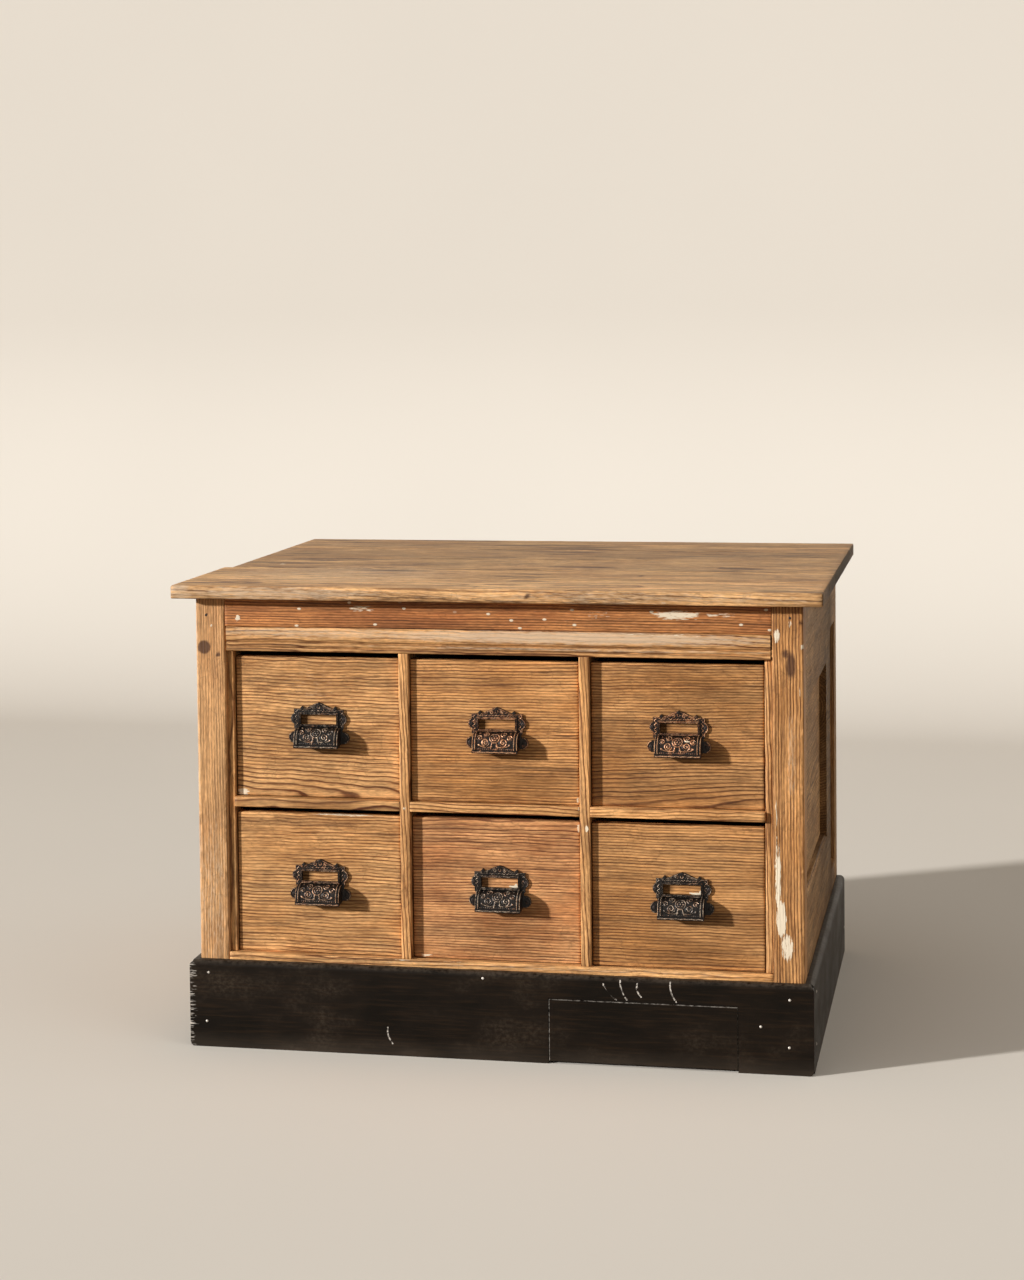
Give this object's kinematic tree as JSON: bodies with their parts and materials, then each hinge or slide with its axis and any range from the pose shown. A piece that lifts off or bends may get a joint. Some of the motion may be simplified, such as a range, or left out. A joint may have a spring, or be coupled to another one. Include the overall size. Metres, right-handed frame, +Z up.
{
  "type": "counter cabinet with drawers",
  "caption": "Wooden counter cabinet with deep drawers in two rows, cast-iron label-holder cup pulls, a plank top, framed sides and a black plinth.",
  "frame": {"origin": "centre of the bounding box's foot, on the floor", "axes": "+X right seen from the front, the longest extent; the drawers face -Y; +Z up"},
  "size_m": [1.066, 0.814, 0.768],
  "materials": {
    "front_pine": "waxed, worn",
    "top_pine": "worn, matt",
    "side_pine": "weathered, matt",
    "inner_pine": "bare",
    "drawer_pine": "bare",
    "back_pine": "bare, rough",
    "black_paint": "worn black paint",
    "pull_iron": "bronzed, worn",
    "screw_iron": "dark"
  },
  "bodies": {
    "carcass": {"header_board": "front_pine", "bottom_rail": "front_pine", "header_moulding": "front_pine", "divider_left": "front_pine", "divider_right": "front_pine", "cross_rails": "front_pine", "edge_strips": "front_pine", "back_rails": "inner_pine", "back_boards": "back_pine", "front_post_left": "front_pine", "front_post_right": "front_pine", "rear_posts": "side_pine", "side_frame_left": "side_pine", "side_frame_right": "side_pine", "side_panels": "side_pine", "partitions": "inner_pine", "drawer_runners": "inner_pine", "drawer_kickers": "inner_pine", "drawer_guides": "inner_pine", "top_boards": "top_pine", "plinth_front": "black_paint", "plinth_patch": "black_paint", "plinth_sides": "black_paint", "drawer_stops": "inner_pine"},
    "drawer_top_left": {"top_left_front": "front_pine", "top_left_sides": "drawer_pine", "top_left_back": "drawer_pine", "top_left_bottom": "drawer_pine", "top_left_pull": "pull_iron", "top_left_pull_screws": "screw_iron"},
    "drawer_top_middle": {"top_middle_front": "front_pine", "top_middle_sides": "drawer_pine", "top_middle_back": "drawer_pine", "top_middle_bottom": "drawer_pine", "top_middle_pull": "pull_iron", "top_middle_pull_screws": "screw_iron"},
    "drawer_top_right": {"top_right_front": "front_pine", "top_right_sides": "drawer_pine", "top_right_back": "drawer_pine", "top_right_bottom": "drawer_pine", "top_right_pull": "pull_iron", "top_right_pull_screws": "screw_iron"},
    "drawer_bottom_left": {"bottom_left_front": "front_pine", "bottom_left_sides": "drawer_pine", "bottom_left_back": "drawer_pine", "bottom_left_bottom": "drawer_pine", "bottom_left_pull": "pull_iron", "bottom_left_pull_screws": "screw_iron"},
    "drawer_bottom_middle": {"bottom_middle_front": "front_pine", "bottom_middle_sides": "drawer_pine", "bottom_middle_back": "drawer_pine", "bottom_middle_bottom": "drawer_pine", "bottom_middle_pull": "pull_iron", "bottom_middle_pull_screws": "screw_iron"},
    "drawer_bottom_right": {"bottom_right_front": "front_pine", "bottom_right_sides": "drawer_pine", "bottom_right_back": "drawer_pine", "bottom_right_bottom": "drawer_pine", "bottom_right_pull": "pull_iron", "bottom_right_pull_screws": "screw_iron"}
  },
  "joints": [
    {"name": "drawer_top_left_slide", "type": "slide", "parent": "carcass", "child": "drawer_top_left", "axis": [0, -1, 0], "range_m": [0, 0.45]},
    {"name": "drawer_top_middle_slide", "type": "slide", "parent": "carcass", "child": "drawer_top_middle", "axis": [0, -1, 0], "range_m": [0, 0.45]},
    {"name": "drawer_top_right_slide", "type": "slide", "parent": "carcass", "child": "drawer_top_right", "axis": [0, -1, 0], "range_m": [0, 0.45]},
    {"name": "drawer_bottom_left_slide", "type": "slide", "parent": "carcass", "child": "drawer_bottom_left", "axis": [0, -1, 0], "range_m": [0, 0.45]},
    {"name": "drawer_bottom_middle_slide", "type": "slide", "parent": "carcass", "child": "drawer_bottom_middle", "axis": [0, -1, 0], "range_m": [0, 0.45]},
    {"name": "drawer_bottom_right_slide", "type": "slide", "parent": "carcass", "child": "drawer_bottom_right", "axis": [0, -1, 0], "range_m": [0, 0.45]}
  ]
}
